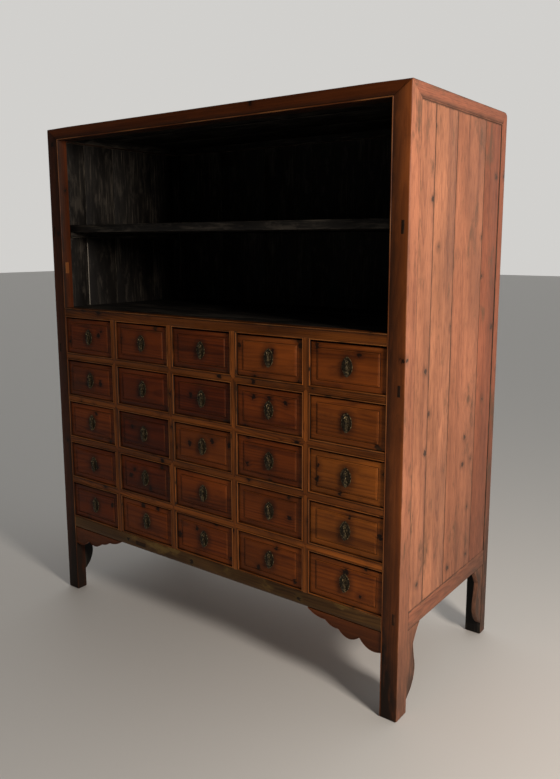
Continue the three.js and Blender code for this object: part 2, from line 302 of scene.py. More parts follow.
def wood(name, pale, deep, **changes):
    """Lacquered or bare softwood. changes are what it has other than LOOK says."""
    look = LOOK | changes
    g = Grain(name)
    knot, bend = g.knots(look["knots"])
    ring = g.rings(bend, look["ring"])
    fibre = g.noise(g.stretched(*look["fibre"]), 3.0, 0.6)
    streak = g.noise(g.stretched(1.6, 48.0), 2.0)
    cloud = g.noise(g.stretched(2.2, 7.5), 3.0, 0.55)

    strong = g.band(g.noise(g.stretched(1.9, 16.0), 1.0), 0.35, 0.65, 0.25, 1.0)
    dark = g.times(g.times(ring, strong), look["ring_share"])
    dark = g.plus(dark, g.times(g.band(fibre, 0.42, 0.72), look["fibre_share"]))
    dark = g.plus(dark, g.times(g.band(streak, 0.42, 0.75), look["streak_share"]))
    dark = g.plus(dark, g.times(bend, 0.35), clamp=True)
    colour = g.mix(dark, pale, deep)

    mottle, tone_range = look["mottle"], look["tone_range"]
    light = g.maths("MULTIPLY_ADD", g.band(cloud, 0.25, 0.78), mottle, 1.0 - mottle * 0.5)
    tone = g.maths("MULTIPLY_ADD", g.tone, tone_range, 1.0 - tone_range * 0.5)
    colour = g.brighten(colour, g.times(light, tone))
    duller = g.times(g.minus(0.6, g.tone), look["redden"])
    tint = g.join(1.0, g.minus(1.0, duller), g.minus(1.0, duller))
    colour = g.vectors("MULTIPLY", colour, tint)

    smoke = g.noise(g.stretched(6.5, 15.0), 5.0, 0.68)
    stain = g.times(g.band(smoke, 0.53, 0.72), look["stain_share"])
    halo = g.times(bend, look["halo"])
    colour = g.mix(g.larger(stain, halo), colour, look["stain"])
    colour = g.mix(g.times(knot, 0.95), colour, look["knot"])

    # Darker round the pull: soiling from hands and the pull's painted shadow.
    if look["smudge"]:
        spread = g.vectors("LENGTH", g.vectors("MULTIPLY", g.board, (*PULL_SOIL_AND_SHADOW_SCALE, 0.0)))
        ragged = g.plus(spread, g.times(smoke, 0.7))
        colour = g.mix(g.band(ragged, 1.75, 0.9, 0.0, look["smudge"]), colour, look["grime"])

    edge = g.edge_distance()
    chips = g.noise(g.stretched(16.0, 60.0), 3.0, 0.6)
    rub = g.minus(look["wear_width"], g.times(chips, look["wear_width"] * 1.55))
    worn = g.band(g.minus(edge, rub), 0.0012, -0.0004)
    patchy = g.band(g.noise(g.stretched(7.0, 14.0), 2.0), 0.38, 0.66, 0.1, 1.0)
    worn = g.times(worn, g.times(patchy, look["wear_share"]))
    # Marks below 0 are wear, partly a painted highlight on bead crowns and field rims.
    handled_and_highlight = g.times(g.times(g.dirt, -1.0, clamp=True), patchy)
    worn = g.larger(worn, handled_and_highlight)
    colour = g.mix(worn, colour, look["wear"])

    seam = g.band(g.minus(edge, g.times(chips, 0.009)), 0.0, -0.004)
    seam = g.times(seam, look["seam_share"])
    # Marks above 0 darken with soiling, and paint shade on faces in the gaps and quirks.
    grime = g.times(g.dirt, g.band(chips, 0.25, 0.6, 0.55, 1.0), clamp=True)
    grime = g.larger(grime, seam)
    colour = g.mix(grime, colour, look["grime"])
    g.feed(g.shader.inputs["Base Color"], colour)

    g.shader.inputs["Specular IOR Level"].default_value = look["gloss"]
    low, high = look["rough"]
    if look["plain"]:
        g.shader.inputs["Roughness"].default_value = high
        return g.material
    rough = g.maths("MULTIPLY_ADD", g.band(cloud, 0.3, 0.75), high - low, low)
    rough = g.plus(rough, g.times(g.larger(worn, grime), 0.18), clamp=True)
    g.feed(g.shader.inputs["Roughness"], rough)

    relief = g.plus(g.times(ring, 0.45), g.times(fibre, 0.55))
    dents = g.band(g.noise(g.stretched(22.0, 40.0), 2.0), 0.3, 0.42)
    relief = g.minus(g.times(dents, 1.6), relief)
    relief = g.minus(relief, g.times(knot, 0.6))
    g.bump(relief, look["bump"], 0.0006)
    return g.material


def black_lacquer():
    """Old black lacquer, streaked and rubbed grey along the grain."""
    g = Grain("black_lacquer")
    scratch = g.noise(g.stretched(6.0, 150.0), 4.0, 0.65)
    patch = g.noise(g.stretched(5.0, 17.0), 4.0, 0.62)
    bare = g.times(g.band(scratch, 0.48, 0.7), g.band(patch, 0.42, 0.62))
    dust = g.times(g.band(patch, 0.3, 0.75), g.tone)
    colour = g.mix(bare, (0.006, 0.005, 0.0045), (0.075, 0.062, 0.048))
    colour = g.mix(g.times(dust, 0.4), colour, (0.045, 0.040, 0.033))
    scuffed = g.band(g.noise(g.stretched(9.0, 24.0), 5.0, 0.7), 0.52, 0.66)
    colour = g.mix(g.times(scuffed, 0.5), colour, (0.062, 0.052, 0.042))
    chips = g.noise(g.stretched(20.0, 60.0), 3.0, 0.6)
    edge = g.minus(g.edge_distance(), g.times(chips, 0.006))
    colour = g.mix(g.band(edge, -0.0012, -0.004, 0.0, 0.7), colour, (0.13, 0.11, 0.08))
    # Pale where the mark is below 0, as along the left board joint, where it is painted light.
    colour = g.mix(g.times(g.dirt, -1.0, clamp=True), colour, (0.42, 0.38, 0.32))
    g.feed(g.shader.inputs["Base Color"], colour)
    g.feed(g.shader.inputs["Roughness"], g.band(patch, 0.25, 0.75, 0.45, 0.75))
    g.shader.inputs["Specular IOR Level"].default_value = 0.15
    g.bump(g.minus(g.times(scratch, 0.5), bare), 0.3, 0.0006)
    return g.material


def aged_bronze():
    """Dark patina, rubbed bright where fingers and the drop touch. Here the mark in cast means rubbed."""
    g = Graph("aged_bronze")
    place = g.attribute("board")
    _, _, rub = g.split(g.attribute("cast"))
    blotch = g.noise(g.vectors("MULTIPLY", place, (210.0,) * 3), 4.0, 0.6)
    fine = g.noise(g.vectors("MULTIPLY", place, (900.0,) * 3), 2.0)
    bright = g.times(rub, g.band(blotch, 0.46, 0.70))
    colour = g.mix(g.band(blotch, 0.35, 0.7), (0.016, 0.011, 0.0055), (0.050, 0.034, 0.016))
    colour = g.mix(bright, colour, (0.44, 0.33, 0.16))
    g.feed(g.shader.inputs["Base Color"], colour)
    g.shader.inputs["Metallic"].default_value = 0.4
    g.shader.inputs["Specular IOR Level"].default_value = 0.3
    g.feed(g.shader.inputs["Roughness"], g.band(bright, 0.0, 1.0, 0.5, 0.3))
    g.bump(g.plus(blotch, g.times(fine, 0.4)), 0.25, 0.0004)
    return g.material


POST_WOOD = wood(
    "post_wood",
    (0.180, 0.053, 0.012),
    (0.062, 0.016, 0.005),
    knots=0.12,
    ring_share=0.3,
    wear_width=0.0024,
    stain_share=0.6,
    tone_range=0.9,
)
LATTICE_WOOD = wood(
    "lattice_wood",
    (0.250, 0.071, 0.011),
    (0.044, 0.010, 0.002),
    knots=0.5,
    ring=0.005,
    mottle=1.0,
    redden=0.0,
    wear_width=0.0012,
    wear_share=0.3,
    rough=(0.24, 0.42),
)
DRAWER_WOOD = wood(
    "drawer_wood",
    (0.245, 0.063, 0.008),
    (0.048, 0.009, 0.002),
    knots=0.5,
    ring=0.009,
    ring_share=0.32,
    tone_range=1.0,
    wear_share=0.3,
    redden=0.6,
    mottle=0.7,
    smudge=0.55,
)
RAIL_WOOD = wood(
    "rail_wood",
    (0.125, 0.058, 0.016),
    (0.030, 0.013, 0.005),
    mottle=0.9,
    redden=0.0,
    stain=(0.24, 0.145, 0.036),
    stain_share=0.7,
    wear_width=0.004,
)
SIDE_WOOD = wood(
    "side_wood",
    (0.405, 0.170, 0.090),
    (0.215, 0.088, 0.052),
    knots=0.18,
    knot=(0.060, 0.036, 0.026),
    halo=0.45,
    ring=0.0055,
    ring_share=0.4,
    fibre=(26.0, 210.0),
    fibre_share=0.6,
    streak_share=0.5,
    stain=(0.140, 0.072, 0.042),
    stain_share=1.0,
    wear=(0.46, 0.25, 0.15),
    wear_width=0.002,
    wear_share=0.25,
    seam_share=0.8,
    grime=(0.076, 0.043, 0.030),
    rough=(0.5, 0.68),
    gloss=0.2,
    tone_range=0.4,
)
RAW_WOOD = wood(
    "raw_wood",
    (0.330, 0.180, 0.098),
    (0.165, 0.080, 0.042),
    knots=0.12,
    knot=(0.075, 0.036, 0.020),
    stain=(0.120, 0.070, 0.040),
    redden=0.1,
    wear_share=0.2,
    rough=(0.65, 0.8),
    plain=True,
)
BLACK = black_lacquer()
BRONZE = aged_bronze()


# ---- Timber

# How round the corners of the top are worn: (face, which way it looks, radius). They are worn
# near the posts, more and more from WORN_FROM on.
TOP_WEAR = ((BACK, 1, 0.024), (FRONT, -1, 0.008))
WORN_FROM, WORN_OVER = RIGHT - 0.10, 0.06
WORN_RINGS = (0.002, 0.005, 0.009, 0.015, 0.024)

# Where dirt gathers: (where it begins, how far from there it is at its full amount).
LOW_DOWN, AT_REAR, AT_FOOT = (0.9, -0.75), (-0.05, 0.3), (0.34, -0.30)
REAR_DIRT = 0.9


def ramp(value, start, reach):
    """0 at start, rising to 1 at start + reach."""
    return np.clip((value - start) / reach, 0, 1)


def rubbed(points):
    """The points, with the four corners of the top worn round."""
    near = ramp(np.abs(points[:, 0]), WORN_FROM, WORN_OVER)
    found = points.copy()
    for face, toward, radius in TOP_WEAR:
        reach = radius * near + 1e-9
        out = np.maximum(reach - toward * (face - points[:, 1]), 0)
        up = np.maximum(reach - (TOP - points[:, 2]), 0)
        distance = np.maximum(np.hypot(out, up), 1e-9)
        excess = np.where((out > 0) & (up > 0), 1 - np.minimum(reach / distance, 1), 0)
        found[:, 1] -= toward * out * excess
        found[:, 2] -= up * excess
    return found


class Work:
    """The points and faces of one visible piece, board by board."""

    def __init__(self):
        self.points, self.board, self.half, self.cast = [], [], [], []
        self.faces, self.skins = [], []
        self.count = 0

    def add(self, points, faces, board, half, seed, tone=0.5, dirt=0.0, skin=None, soil=0.0):
        """skin is a rule that takes face centres and returns each face's material number, or
        whether it has the second one. soil is how much soiling gathers towards floor and back."""
        points = rubbed(np.asarray(points, float))
        cast = np.empty((len(points), 3))
        cast[:, 0], cast[:, 1], cast[:, 2] = seed, tone, dirt
        rear = ramp(points[:, 1], *AT_REAR)
        behind = REAR_DIRT * ramp(points[:, 2], *LOW_DOWN) * rear
        cast[:, 2] += soil * (behind + ramp(points[:, 2], *AT_FOOT) * (1 - rear))
        self.points.append(points)
        self.board.append(np.asarray(board, float))
        self.half.append(np.broadcast_to(half, (len(points), 3)))
        self.cast.append(cast)
        self.faces += [[i + self.count for i in face] for face in faces]
        if skin:
            centres = np.array([points[face].mean(0) for face in faces])
            self.skins += [int(number) for number in skin(centres)]
        else:
            self.skins += [0] * len(faces)
        self.count += len(points)

    def add_board(self, places, faces, lows, highs, axes, origin, seed, **look):
        """A board whose places are measured along axes from origin, and lie between lows and
        highs. Its whole-number seed becomes one of 97 numbers from 0 to 10."""
        points = places @ np.array(axes) + np.asarray(origin, float)
        self.add(points, faces, places - (lows + highs) / 2, (highs - lows) / 2, seed % 97 / 9.7, **look)

    def build(self, name, node, slot, *skins, body="carcass", sharp=32):
        """The finished piece, shown instead of the CAD part node."""
        mesh = bpy.data.meshes.new(name)
        mesh.from_pydata(np.concatenate(self.points).tolist(), [], self.faces)
        for key, rows in (("board", self.board), ("half", self.half), ("cast", self.cast)):
            layer = mesh.attributes.new(key, "FLOAT_VECTOR", "POINT")
            layer.data.foreach_set("vector", np.concatenate(rows).astype(np.float32).ravel())
        for material in skins:
            mesh.materials.append(material)
        mesh.polygons.foreach_set("material_index", self.skins)
        bm = bmesh.new()
        bm.from_mesh(mesh)
        bmesh.ops.recalc_face_normals(bm, faces=bm.faces)
        bm.to_mesh(mesh)
        bm.free()
        mesh.shade_smooth()
        mesh.set_sharp_from_angle(angle=math.radians(sharp))
        piece = bpy.data.objects.new(name, mesh)
        bpy.context.scene.collection.objects.link(piece)
        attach(piece, body)
        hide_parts(node)


def stray(seed, count):
    """count smooth wandering functions of a length, each between about -1 and 1."""
    rng = np.random.default_rng(seed)
    pace = rng.uniform(2.0, 9.0, (3, count))
    phase = rng.uniform(0.0, math.tau, (3, count))
    return lambda s: (np.sin(s[..., None, :] * pace + phase)).mean(-2)


def tube(rings, around):
    """The faces that join rings of points, around to a ring, and close both ends."""
    faces = []
    for ring in range(rings - 1):
        low, high = ring * around, (ring + 1) * around
        for i in range(around):
            j = (i + 1) % around
            faces.append([low + i, low + j, high + j, high + i])
    faces.append(list(range(around)))
    faces.append(list(range((rings - 1) * around, rings * around)))
    return faces


def stick(
    work, section, start, stop, axes, origin, seed, span=None, wobble=WOBBLE, ease=0.0, worn=(), **look
):
    """A length of timber. section holds (v, w) points; start and stop say where each begins and
    ends along the first of axes; v and w are measured along the other two, from origin. span is
    the part of the whole board that its grain runs over. ease rounds the end at start, and worn
    names the ends, 0 or 1, that get close rings."""
    section = np.asarray(section, float)
    count = len(section)
    start = np.broadcast_to(np.asarray(start, float), count)
    stop = np.broadcast_to(np.asarray(stop, float), count)
    steps = max(2, int((stop.max() - start.min()) / STEP) + 2)
    share = np.linspace(0.0, 1.0, steps)[:, None]
    along = start + (stop - start) * share
    if ease:
        along = np.vstack([along[:1], along[:1] + ease, along[1:]])
    close = np.array(WORN_RINGS)[:, None]
    if 0 in worn:
        along = np.vstack([along[:1], along[:1] + close, along[1:]])
    if 1 in worn:
        along = np.vstack([along[:-1], along[-1:] - close[::-1], along[-1:]])
    sway_v, sway_w = stray(seed, count), stray(seed + 7919, count)
    v = section[:, 0] + wobble * sway_v(along)
    w = section[:, 1] + wobble * sway_w(along)
    lows = np.array([start.min(), *section.min(0)])
    highs = np.array([stop.max(), *section.max(0)])
    if ease:
        v[0] += np.clip((lows[1] + highs[1]) / 2 - v[0], -ease, ease)
        w[0] += np.clip((lows[2] + highs[2]) / 2 - w[0], -ease, ease)
    if span:
        lows[0], highs[0] = span
    rings = len(along)
    places = np.stack([along, v, w], -1).reshape(-1, 3)
    dirt = np.tile(np.broadcast_to(look.pop("dirt", 0.0), count), rings)
    work.add_board(places, tube(rings, count), lows, highs, axes, origin, seed, dirt=dirt, **look)


def rounded(width, height, radius, turns=2):
    """A rectangle with rounded corners, as (v, w) points in order."""
    points = []
    for v, w, angle in ((0, 0, 180), (width, 0, 270), (width, height, 0), (0, height, 90)):
        centre_v = v - radius if v else radius
        centre_w = w - radius if w else radius
        for k in range(turns + 1):
            a = math.radians(angle + 90 * k / turns)
            points.append((centre_v + radius * math.cos(a), centre_w + radius * math.sin(a)))
    return points


def board(work, low, high, grain, seed, radius=0.0012, **look):
    """A board between two corners, with its grain along axis number grain."""
    low, high = np.asarray(low, float), np.asarray(high, float)
    size = high - low
    others = sorted((i for i in range(3) if i != grain), key=lambda i: -size[i])
    order = [grain, *others]
    length, width, height = size[order]
    stick(work, rounded(width, height, radius), 0.0, length, AXES[order], low, seed, **look)


# From one side of a bead to the other: painted shade on the edge that faces the gap, soiling and
# painted shade beside the quirk, and a crown worn pale, partly as a painted highlight.
BEAD_SHADE_SOIL_AND_WEAR = (1.0, 0.4, -0.25, -0.5, -0.25, 0.6, 1.0)
# The quirk is darkened with soiling and painted shade.
QUIRK_DEPTH, QUIRK_SOIL_AND_SHADE = 0.0002, 0.8
# How many points of a moulded section belong to its bead, its rounded corner and its back.
BEAD_POINTS, ROUND_POINTS, REAR_POINTS = len(BEAD_SHADE_SOIL_AND_WEAR) + 1, 4, 4


def bead(edge, side):
    """A half-round bead and its quirk, from the edge inwards, as (v, w) points and the mark of each:
    painted shade at the edge by the gap, soiling and painted shade in the quirk, and a crown worn
    pale that is partly a painted highlight.
    """
    points = []
    for k, dirt in enumerate(BEAD_SHADE_SOIL_AND_WEAR):
        a = math.pi * k / (len(BEAD_SHADE_SOIL_AND_WEAR) - 1)
        v = edge + side * BEAD_RADIUS * (1 - math.cos(a))
        points.append((v, BEAD_RADIUS * (1 - math.sin(a)) - BEAD_PROUD, dirt))
    points.append((edge + side * (2 * BEAD_RADIUS + QUIRK), QUIRK_DEPTH, QUIRK_SOIL_AND_SHADE))
    return points


def plain_corner(edge, side, radius):
    """A rounded corner of the front face, from the edge inwards."""
    points = []
    for k in range(ROUND_POINTS):
        a = math.pi / 2 * k / (ROUND_POINTS - 1)
        points.append((edge + side * radius * (1 - math.cos(a)), radius * (1 - math.sin(a)), 0.0))
    return points


def moulded(width, depth, low, high, radius, hollow=0.0):
    """A section whose front face, at w 0, has a bead or a rounded corner at each edge. low and
    high say "bead" or "round". Returns the (v, w) points and the mark of each, with painted shade
    on the back corner of the low edge."""
    ends = {"bead": bead, "round": lambda edge, side: plain_corner(edge, side, radius)}
    face = ends[low](0.0, 1)
    if hollow:
        middle, spread, beside = width / 2, width / 5, hollow * 0.7
        face += [(middle - spread, beside, 0.0), (middle, hollow, 0.0), (middle + spread, beside, 0.0)]
    face += ends[high](width, -1)[::-1]
    face += [(width, depth - CHAMFER, 0.0), (width - CHAMFER, depth, 0.0)]
    # The back corner at the low edge is marked 1: painted shade down the face that lines the gap or opening.
    face += [(CHAMFER, depth, 0.0), (0.0, depth - CHAMFER, 1.0)]
    face = np.array(face)
    return face[:, :2], face[:, 2]


# ---- Posts and top

FRONT_SKIN, SIDE_SKIN, BLACK_SKIN = 0, 1, 2
LACQUER_DROP = 0.012  # the top is black from this far under its upper face
LACQUER_FROM, LACQUER_TO = -0.262, 0.302  # and between these depths
ROUND_EDGE = 0.003  # on the outer corner of a front post
PROUD = 0.0002  # how far a let-in piece stands out


def hand(side):
    """side is -1 at the left of the cabinet and 1 at its right."""
    return "right" if side > 0 else "left"


def outer_face(side, recess=0.0):
    return RIGHT - recess if side > 0 else LEFT + recess


def mitre_fall(v, w, depth):
    return TOP_RAIL * np.maximum(v / POST_WIDTH, w / depth)


def front_post(side):
    outer = outer_face(side)
    section, dirt = moulded(POST_WIDTH, POST_DEPTH, "round", "bead", ROUND_EDGE)
    tongue = RIGHT - SIDE_INNER
    rear = [(POST_WIDTH, REBATE), (tongue, REBATE), (tongue, POST_DEPTH)]
    rear += [(CHAMFER, POST_DEPTH), (0.0, POST_DEPTH - CHAMFER)]
    section = np.vstack([section[:-REAR_POINTS], rear])
    dirt = np.append(dirt[:-REAR_POINTS], np.zeros(len(rear)))
    stop = TOP - GAP - mitre_fall(section[:, 0], section[:, 1], POST_DEPTH)

    def skin(centres):
        inward = np.abs(centres[:, 0] - outer)
        depth = centres[:, 1] - FRONT
        outside = (inward < 0.0008) & (depth > 0.002)
        behind = np.where(inward > 0.004, BLACK_SKIN, SIDE_SKIN)
        return np.where(depth > REBATE - 0.0005, behind, np.where(outside, SIDE_SKIN, FRONT_SKIN))

    work = Work()
    # The left post gets a darker tone than the right: painted shade where the light falls off to the left.
    look = {"tone": 0.4 if side > 0 else 0.0, "dirt": dirt, "skin": skin, "soil": 0.8}
    look |= {"ease": 0.003, "worn": (1,)}
    stick(work, section, 0.0, stop, (Z, -side * X, Y), (outer, FRONT, 0.0), 11 + side, **look)
    tenon_ends(work, side)
    if side < 0:
        mend(work)
    node = f"front_{hand(side)}_post"
    work.build(node + "_timber", node, "lacquered_wood", POST_WOOD, SIDE_WOOD, BLACK)


MEND_DEEP, MEND_HIGH = (0.012, 0.026), (1.272, 1.312)  # from the front face, from the floor


def mend(work):
    """A pale patch let into the inner face of the left post."""
    low = (-INNER - 0.003, FRONT + MEND_DEEP[0], MEND_HIGH[0])
    high = (-INNER + PROUD, FRONT + MEND_DEEP[1], MEND_HIGH[1])
    board(work, low, high, 2, 99, radius=0.0001, dirt=-0.12, wobble=0.0)


TENONS = ((1.409, 1.445), (0.970, 1.002), (0.302, 0.336))  # from the floor
TENON_WIDTH = 0.009
TENON_IN = 0.0125  # from the outer face of the post


def tenon_ends(work, side):
    """The dark ends of the tenons that come through to the face of a post."""
    x = sorted(outer_face(side, inward) for inward in (TENON_IN, TENON_IN + TENON_WIDTH))
    for k, (bottom, top) in enumerate(TENONS):
        low, high = (x[0], FRONT - PROUD, bottom), (x[1], FRONT + 0.004, top)
        board(work, low, high, 2, 301 + k, radius=0.0004, dirt=1.0, wobble=0.0)


def back_post(side):
    outer = outer_face(side)
    section = np.array(rounded(POST_WIDTH, BACK_POST_DEPTH, 0.002))
    stop = TOP - GAP - mitre_fall(section[:, 0], section[:, 1], BACK_POST_DEPTH)

    def skin(centres):
        # Black lacquer on the front and inner faces; on the leg below the carcass this black is painted
        # shade.
        near = centres[:, 1] < SIDE_TO + 0.001
        return near | (np.abs(centres[:, 0] - outer) > POST_WIDTH - 0.001)

    work = Work()
    look = {"tone": 0.05, "skin": skin, "soil": 1.4, "ease": 0.004, "worn": (1,)}
    stick(work, section, 0.0, stop, (Z, -side * X, -Y), (outer, BACK, 0.0), 21 + side, **look)
    node = f"back_{hand(side)}_post"
    work.build(node + "_timber", node, "lacquered_wood", SIDE_WOOD, BLACK)


def top_rail(seed, name, depth, half_length, run, axes, origin, material):
    """One side of the mitred frame. depth is how wide it is seen from above, and run how far its
    mitres reach along it. Extra points round its upper outer edge let that be worn."""
    section, dirt = moulded(TOP_RAIL, depth, "bead", "round", 0.0025)
    corner, rear = BEAD_POINTS, BEAD_POINTS + ROUND_POINTS
    outside = [(TOP_RAIL - back, 0.0) for back in WORN_RINGS[:1:-1]]
    above = [(TOP_RAIL, back) for back in WORN_RINGS[1:]]
    section = np.vstack([section[:corner], outside, section[corner:rear], above, section[rear:]])
    clean = [np.zeros(len(outside)), np.zeros(len(above))]
    dirt = np.concatenate([dirt[:corner], clean[0], dirt[corner:rear], clean[1], dirt[rear:]])
    fall = np.maximum(section[:, 1] / depth, (TOP_RAIL - section[:, 0]) / TOP_RAIL)
    low = -half_length + run[0] * fall + GAP
    high = half_length - run[1] * fall - GAP

    def skin(centres):
        x, y, z = centres.T
        inside = (np.abs(x) < INNER + 0.001) & (y > LACQUER_FROM) & (y < LACQUER_TO)
        return inside & (z < TOP - LACQUER_DROP)

    work = Work()
    stick(work, section, low, high, axes, origin, seed, dirt=dirt, tone=0.1, skin=skin, worn=(0, 1))
    work.build(f"top_{name}_rail", "top", "side_wood", material, BLACK)


TOP_BOARDS = 3
TOP_BOARD_LOW, TOP_BOARD_HIGH = 0.018, 0.002  # below the top of the posts


def top_boards():
    edges = np.linspace(SIDE_FROM, SIDE_TO, TOP_BOARDS + 1)
    half = INNER - GAP

    def skin(centres):
        return centres[:, 2] < TOP - LACQUER_DROP

    work = Work()
    for k, (near, far) in enumerate(zip(edges, edges[1:])):
        low, high = (-half, near + GAP, TOP - TOP_BOARD_LOW), (half, far - GAP, TOP - TOP_BOARD_HIGH)
        board(work, low, high, 0, 41 + k, tone=0.3 + 0.2 * k, skin=skin)
    work.build("top_boards", "top", "side_wood", SIDE_WOOD, BLACK)


def top_frame():
    middle = (FRONT + BACK) / 2
    low = TOP - TOP_RAIL
    half_y = (BACK - FRONT) / 2
    wide = (POST_WIDTH, POST_WIDTH)
    deep = (POST_DEPTH, BACK_POST_DEPTH)
    rails = (
        ("front", POST_DEPTH, RIGHT, wide, (X, Z, Y), (0, FRONT, low), POST_WOOD),
        ("back", BACK_POST_DEPTH, RIGHT, wide, (X, Z, -Y), (0, BACK, low), SIDE_WOOD),
        ("left", POST_WIDTH, half_y, deep, (Y, Z, X), (LEFT, middle, low), SIDE_WOOD),
        ("right", POST_WIDTH, half_y, deep, (Y, Z, -X), (RIGHT, middle, low), SIDE_WOOD),
    )
    for k, rail in enumerate(rails):
        top_rail(31 + k, *rail)
    top_boards()


# ---- Sides and back

# A bracket's edge from its front face inwards: (distance in from the edge, depth, mark). The mark
# darkens the quirk with soiling and painted shade.
SCALLOP_BEAD = (
    (0.0000, 0.0035, 0.0),
    (0.0007, 0.0012, 0.0),
    (0.0020, 0.0000, 0.0),
    (0.0034, 0.0008, 0.2),
    (0.0040, 0.0022, 0.9),
    (0.0050, 0.0012, 0.3),
)
BEAD_ROOM = 0.008  # a bracket narrower than this has a narrower bead


def scalloped(work, edge, base, axes, origin, thickness, seed, **look):
    """A bracket with a beaded, curved edge. edge holds (s, d) points, d the depth at s; the
    straight side lies at d = base. The axes are those of s, d and the thickness."""
    face_depth = SCALLOP_BEAD[-1][1]
    places = []
    for s, d in edge:
        shrink = min(1.0, max(d - base, 0.0) / BEAD_ROOM)
        places += [(s, d - inset * shrink, depth) for inset, depth, _ in SCALLOP_BEAD]
        places += [(s, base, face_depth), (s, base, thickness), (s, d, thickness)]
    dirt = [mark for _, _, mark in SCALLOP_BEAD] + [0.0] * 3
    faces = tube(len(edge), len(dirt))
    places = np.array(places)
    lows, highs = places.min(0), places.max(0)
    dirt = np.tile(dirt, len(edge))
    work.add_board(places, faces, lows, highs, axes, origin, seed, dirt=dirt, **look)


def curve(points, steps=8):
    """Points on a chain of quadratic curves: point, control, point, control, ... point."""
    found = []
    for k in range(0, len(points) - 2, 2):
        a, b, c = (np.array(p) for p in points[k : k + 3])
        for t in np.linspace(0, 1, steps, endpoint=False):
            found.append(a * (1 - t) ** 2 + 2 * b * t * (1 - t) + c * t**2)
    found.append(np.array(points[-1]))
    return found


# The edges of the aprons and of the side brackets, as points and the controls between them.
APRON = ((0.000, 0.064), (0.044, 0.080), (0.074, 0.040), (0.112, 0.074), (0.148, 0.036))
APRON += ((0.172, 0.040), (0.197, 0.020), (0.236, 0.022), (0.262, 0.000))
OGEE = ((0.045, 0.001), (0.066, 0.034), (0.090, 0.044), (0.125, 0.060), (0.160, 0.046))
OGEE += ((0.190, 0.040), (0.208, 0.038), (0.240, 0.054), (0.263, 0.077))


def apron(side):
    work = Work()
    origin = (side * (INNER - GAP), FRONT + 0.002, LEG)
    scalloped(work, curve(APRON), -0.0005, (-side * X, -Z, Y), origin, 0.016, 51 + side, tone=0.25)
    work.build(f"front_apron_{hand(side)}", "drawer_grid", "lacquered_wood", POST_WOOD)


SIDE_TONES = (0.5, 0.55, 0.4, 0.05)  # the boards get darker towards the back


def build_side(work, side, name, *skins):
    work.build(f"{hand(side)}_{name}", f"{hand(side)}_side_panel", "side_wood", *skins)


def side_boards(side):
    outer = outer_face(side, SIDE_RECESS)
    joints = [SIDE_FROM, *(FRONT + joint for joint in SIDE_JOINTS), SIDE_TO]
    x = sorted((outer, outer - side * SIDE_THICKNESS))

    def skin(centres):
        inside = np.abs(centres[:, 0] - outer) > SIDE_THICKNESS * 0.4
        return np.where(inside, np.where(centres[:, 2] > GRID_TOP - 0.02, 1, 2), 0)

    work = Work()
    for k, (near, far) in enumerate(zip(joints, joints[1:])):
        low = (x[0], near + GAP * 1.5, RAIL_TOP + GAP)
        high = (x[1], far - GAP * 1.5, TOP - TOP_RAIL - GAP)
        look = {"radius": 0.0016, "tone": SIDE_TONES[k], "skin": skin, "soil": 1.0}
        board(work, low, high, 2, 61 + 5 * side + k, **look)
    build_side(work, side, "side_boards", SIDE_WOOD, BLACK, RAW_WOOD)


def side_rail(side):
    work = Work()
    x = sorted((outer_face(side, SIDE_RAIL_RECESS), side * SIDE_INNER))
    low, high = (x[0], SIDE_FROM + GAP, LEG), (x[1], SIDE_TO - GAP, RAIL_TOP)
    board(work, low, high, 1, 71 + side, radius=0.0025, tone=0.25, soil=1.0)
    build_side(work, side, "side_rail", SIDE_WOOD)


def side_bracket(side, end, y, toward):
    """The ogee bracket beside a leg, black on its inner side as painted shade under the cabinet."""
    outer = outer_face(side, SIDE_RAIL_RECESS)

    def skin(centres):
        return np.abs(centres[:, 0] - outer) > 0.013

    work = Work()
    axes = (Z, toward * Y, -side * X)
    look = {"tone": 0.5, "soil": 1.0, "skin": skin}
    scalloped(work, curve(OGEE, 6), 0.0, axes, (outer, y, 0.0), 0.014, 81 + side + toward, **look)
    build_side(work, side, end + "_bracket", SIDE_WOOD, BLACK)


# A pale line down the left board joint: painted light, as though it came through the joint.
LIGHT_LEAK_TOP, LIGHT_LEAK_HALF = 1.385, 0.0012  # from the floor, and half as wide


def shelf_cleat(side):
    """The ledge under the shelf. The left one also holds a pale line down a board joint: painted
    light, as though it came through the joint.
    """
    work = Work()
    top = SHELF_LOW.z - GAP
    # Painted light along the first board joint.
    if side < 0:
        joint = FRONT + SIDE_JOINTS[0]
        low = (-SIDE_INNER - 0.001, joint - LIGHT_LEAK_HALF, GRID_TOP)
        high = (-SIDE_INNER + PROUD, joint + LIGHT_LEAK_HALF, LIGHT_LEAK_TOP)
        board(work, low, high, 2, 97, radius=0.0001, dirt=-0.8, wobble=0.0)
    x = sorted((side * SIDE_INNER, side * (SIDE_INNER - CLEAT)))
    board(work, (x[0], SIDE_FROM + GAP, top - CLEAT), (x[1], SIDE_TO - GAP, top), 1, 91 + side)
    build_side(work, side, "shelf_cleat", BLACK)


def side_panel(side):
    side_boards(side)
    side_rail(side)
    side_bracket(side, "front", SIDE_FROM + GAP, 1)
    side_bracket(side, "back", SIDE_TO - GAP, -1)
    shelf_cleat(side)


BACK_TONES = (0.4, 0.6, 0.3, 0.7, 0.5, 0.35)


